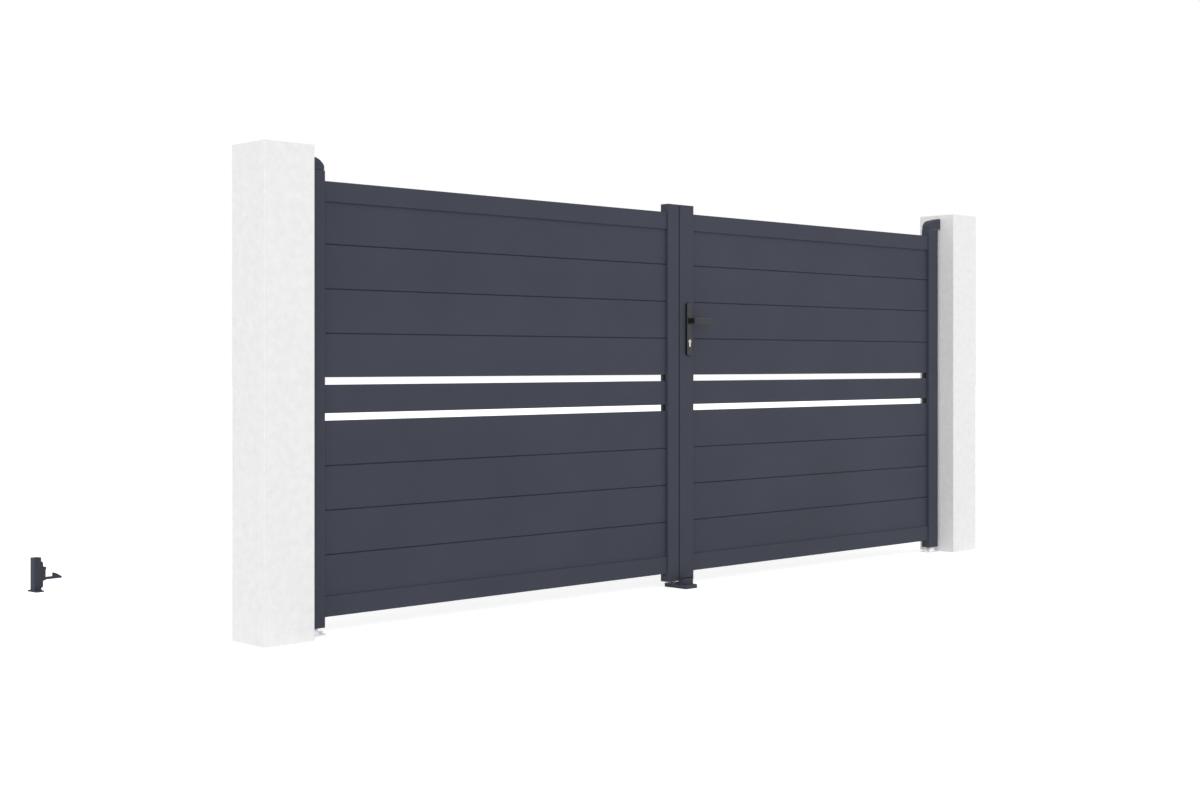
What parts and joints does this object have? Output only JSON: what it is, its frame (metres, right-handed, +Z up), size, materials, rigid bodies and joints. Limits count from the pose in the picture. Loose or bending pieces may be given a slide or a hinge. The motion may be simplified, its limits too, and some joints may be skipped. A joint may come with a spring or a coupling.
{
  "type": "double-leaf swing gate with pillars",
  "caption": "Double-leaf aluminium driveway swing gate with tongue-and-groove boards, lever lock, pivot hinges, floor stop, hold-open catches and rendered masonry pillars.",
  "frame": {"origin": "centre of the left pillar's base, on the ground", "axes": "+X along the closed gate to the right pillar, +Y into the yard, where the leaves open, +Z up"},
  "size_m": [4.42, 1.9697, 1.7741],
  "materials": {
    "powder_coat": "anthracite powder coat, fine satin texture",
    "render": "white rendered masonry",
    "cap_plastic": "moulded, matt anthracite",
    "galvanised_steel": "galvanised",
    "black_handle": "black satin coating",
    "nickel": "nickel plated",
    "stop_casting": "painted casting",
    "rubber": "moulded",
    "bumper_plastic": "moulded",
    "holder_metal": "anthracite powder coat"
  },
  "bodies": {
    "root": {"left_pillar": "render", "right_pillar": "render", "centre_stop": "stop_casting", "centre_stop_buffer": "rubber", "left_hinge_bracket": "galvanised_steel", "left_hinge_cover": "powder_coat", "left_ground_pivot": "galvanised_steel", "left_holder_plate": "holder_metal", "left_holder_post": "holder_metal", "left_holder_bumper": "bumper_plastic", "right_hinge_bracket": "galvanised_steel", "right_hinge_cover": "powder_coat", "right_ground_pivot": "galvanised_steel", "right_holder_plate": "holder_metal", "right_holder_post": "holder_metal", "right_holder_bumper": "bumper_plastic"},
    "left_leaf": {"left_hinge_post": "powder_coat", "left_hinge_caps": "cap_plastic", "left_stile_caps": "cap_plastic", "left_top_rail": "powder_coat", "left_bottom_rail": "powder_coat", "left_upper_boards": "powder_coat", "left_lower_boards": "powder_coat", "left_middle_slat": "powder_coat", "left_meeting_stile": "powder_coat", "left_strike_plate": "galvanised_steel"},
    "right_leaf": {"right_hinge_post": "powder_coat", "right_hinge_caps": "cap_plastic", "right_stile_caps": "cap_plastic", "right_top_rail": "powder_coat", "right_bottom_rail": "powder_coat", "right_upper_boards": "powder_coat", "right_lower_boards": "powder_coat", "right_middle_slat": "powder_coat", "right_lock_stile": "powder_coat", "right_lock_face_plate": "galvanised_steel", "front_handle_plate": "black_handle", "rear_handle_plate": "black_handle", "lock_cylinder": "nickel"},
    "lever": {"front_lever": "black_handle", "rear_lever": "black_handle", "lever_spindle": "galvanised_steel"},
    "left_catch": {"left_holder_catch": "holder_metal"},
    "right_catch": {"right_holder_catch": "holder_metal"}
  },
  "joints": [
    {"name": "left_leaf_swing", "type": "hinge", "parent": "root", "child": "left_leaf", "pos_m": [0.1675, 0, 0.028], "axis": [0, 0, 1], "range_deg": [0, 94]},
    {"name": "right_leaf_swing", "type": "hinge", "parent": "root", "child": "right_leaf", "pos_m": [4.0425, 0, 0.028], "axis": [0, 0, -1], "range_deg": [0, 94]},
    {"name": "lever_turn", "type": "hinge", "parent": "right_leaf", "child": "lever", "pos_m": [2.149, 0, 1.182], "axis": [0, 1, 0], "range_deg": [0, 45], "stiffness_Nm_per_rad": 0.8, "springref_deg": -34.38},
    {"name": "left_catch_tilt", "type": "hinge", "parent": "root", "child": "left_catch", "pos_m": [0.00658, 1.82823, 0.054], "axis": [-0.0698, 0.9976, 0], "range_deg": [0, 20], "stiffness_Nm_per_rad": 0.3, "springref_deg": -28.65},
    {"name": "right_catch_tilt", "type": "hinge", "parent": "root", "child": "right_catch", "pos_m": [4.20342, 1.82823, 0.054], "axis": [-0.0698, -0.9976, 0], "range_deg": [0, 20], "stiffness_Nm_per_rad": 0.3, "springref_deg": -28.65}
  ]
}
